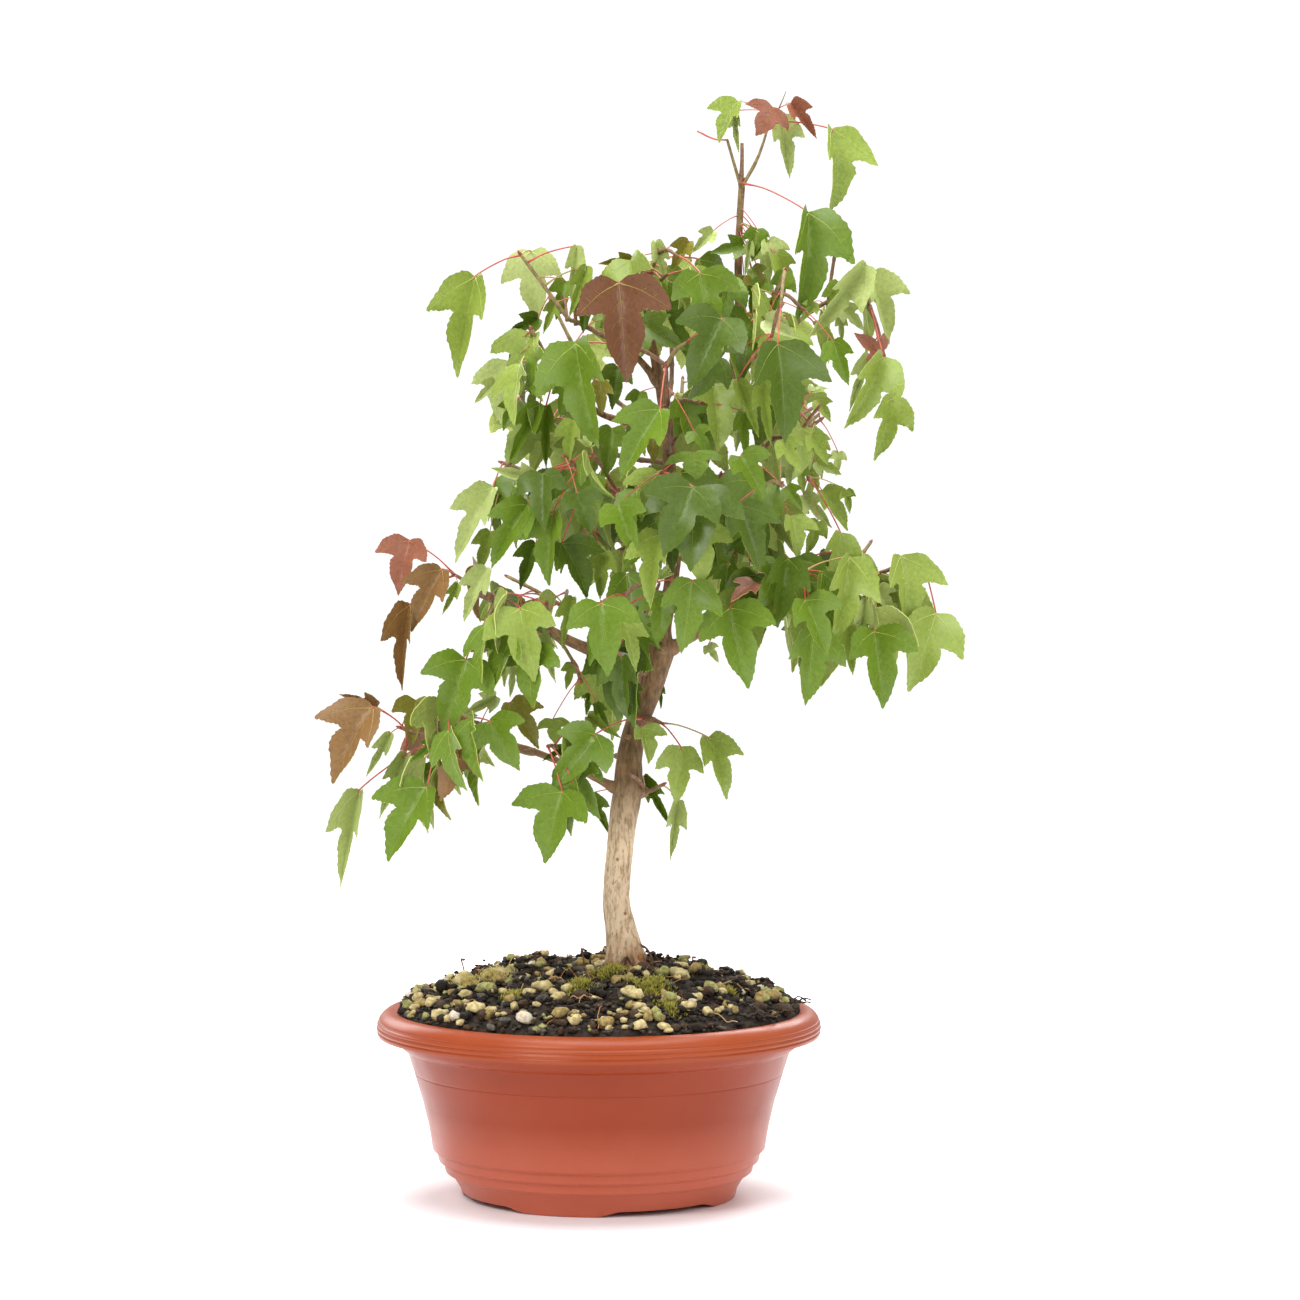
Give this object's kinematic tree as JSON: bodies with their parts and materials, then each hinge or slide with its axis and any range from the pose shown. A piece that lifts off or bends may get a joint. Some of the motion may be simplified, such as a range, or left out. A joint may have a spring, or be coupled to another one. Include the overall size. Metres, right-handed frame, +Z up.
{
  "type": "trident maple bonsai",
  "caption": "Young trident maple bonsai: a slim curving trunk, spreading boughs and drooping lobed leaves on red stalks, planted in mounded grit in a round footed bowl.",
  "frame": {"origin": "under the middle of the whole plant's box, in the plane of the bowl's feet", "axes": "+Z up the trunk, +X to the right and +Y to the back as the bowl is seen from its front"},
  "size_m": [0.2968, 0.2042, 0.5036],
  "materials": {
    "terracotta_plastic": "satin moulded terracotta brown",
    "potting_soil": "dark crumbs with pale pumice grit and moss",
    "bark": "thin finely cracked beige bark",
    "foliage_green": "satin green leaves",
    "foliage_bronze": "satin bronze young leaves and red stalks"
  },
  "bodies": {
    "root": {"pot": "terracotta_plastic", "soil": "potting_soil", "trunk": "bark", "leader": "bark", "low_left_limb": "bark", "low_left_spur": "bark", "low_left_side": "bark", "mid_left_limb": "bark", "mid_left_front_bough": "bark", "mid_left_back_bough": "bark", "low_back_bough": "bark", "right_arm": "bark", "right_arm_front_bough": "bark", "right_arm_back_bough": "bark", "centre_front_bough": "bark", "centre_back_bough": "bark", "left_limb": "bark", "right_shoulder_bough": "bark", "right_back_bough": "bark", "left_upper_limb": "bark", "fork_left": "bark", "upper_right_bough": "bark", "top_sprig": "foliage_green", "upper_right_spray": "foliage_green", "upper_right_front": "foliage_green", "upper_right_back": "foliage_green", "right_shoulder": "foliage_green", "right_shoulder_back": "foliage_green", "crown_top": "foliage_green", "crown_top_back": "foliage_green", "upper_left_spray": "foliage_green", "upper_left_back": "foliage_green", "left_shoulder": "foliage_green", "left_shoulder_back": "foliage_green", "centre_upper_front": "foliage_green", "centre_upper_back": "foliage_green", "left_mid_front": "foliage_green", "left_mid_spray": "foliage_green", "left_mid_back": "foliage_green", "centre_front": "foliage_green", "centre_back": "foliage_green", "right_mid_front": "foliage_green", "right_mid_back": "foliage_green", "bronze_sprig": "foliage_bronze", "left_low_front": "foliage_green", "left_low_back": "foliage_green", "centre_low_front": "foliage_green", "low_back": "foliage_green", "right_arm_spray": "foliage_green", "right_arm_front": "foliage_green", "right_arm_back": "foliage_green", "low_left_tip": "foliage_bronze", "low_left_mid": "foliage_green", "low_left_near": "foliage_green", "low_right": "foliage_green"}
  },
  "joints": []
}
